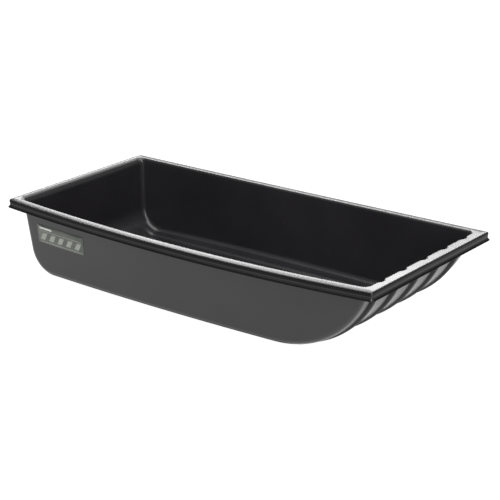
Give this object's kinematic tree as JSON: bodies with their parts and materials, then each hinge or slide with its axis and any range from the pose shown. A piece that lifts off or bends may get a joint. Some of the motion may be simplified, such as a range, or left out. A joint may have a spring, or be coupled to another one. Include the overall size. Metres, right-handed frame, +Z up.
{
  "type": "ice fishing sled",
  "caption": "Open moulded tub sled with a wide turned-down rim, an upswept bow and hollow runners along its floor, pulled over ice and snow to carry fishing gear.",
  "frame": {"origin": "under the middle of the tub, on the plane of the runners' crests", "axes": "+X towards the upswept bow, +Y to the sled's left, +Z up out of the open tub"},
  "size_m": [1.382, 0.695, 0.2538],
  "materials": {
    "hull_plastic": "black moulded polyethylene, satin and slightly rippled, with fine scuffs",
    "label_film": "thin smoked grey-green printed film with pale stripes, satin"
  },
  "bodies": {
    "root": {"hull": "hull_plastic", "side_label": "label_film"}
  },
  "joints": []
}
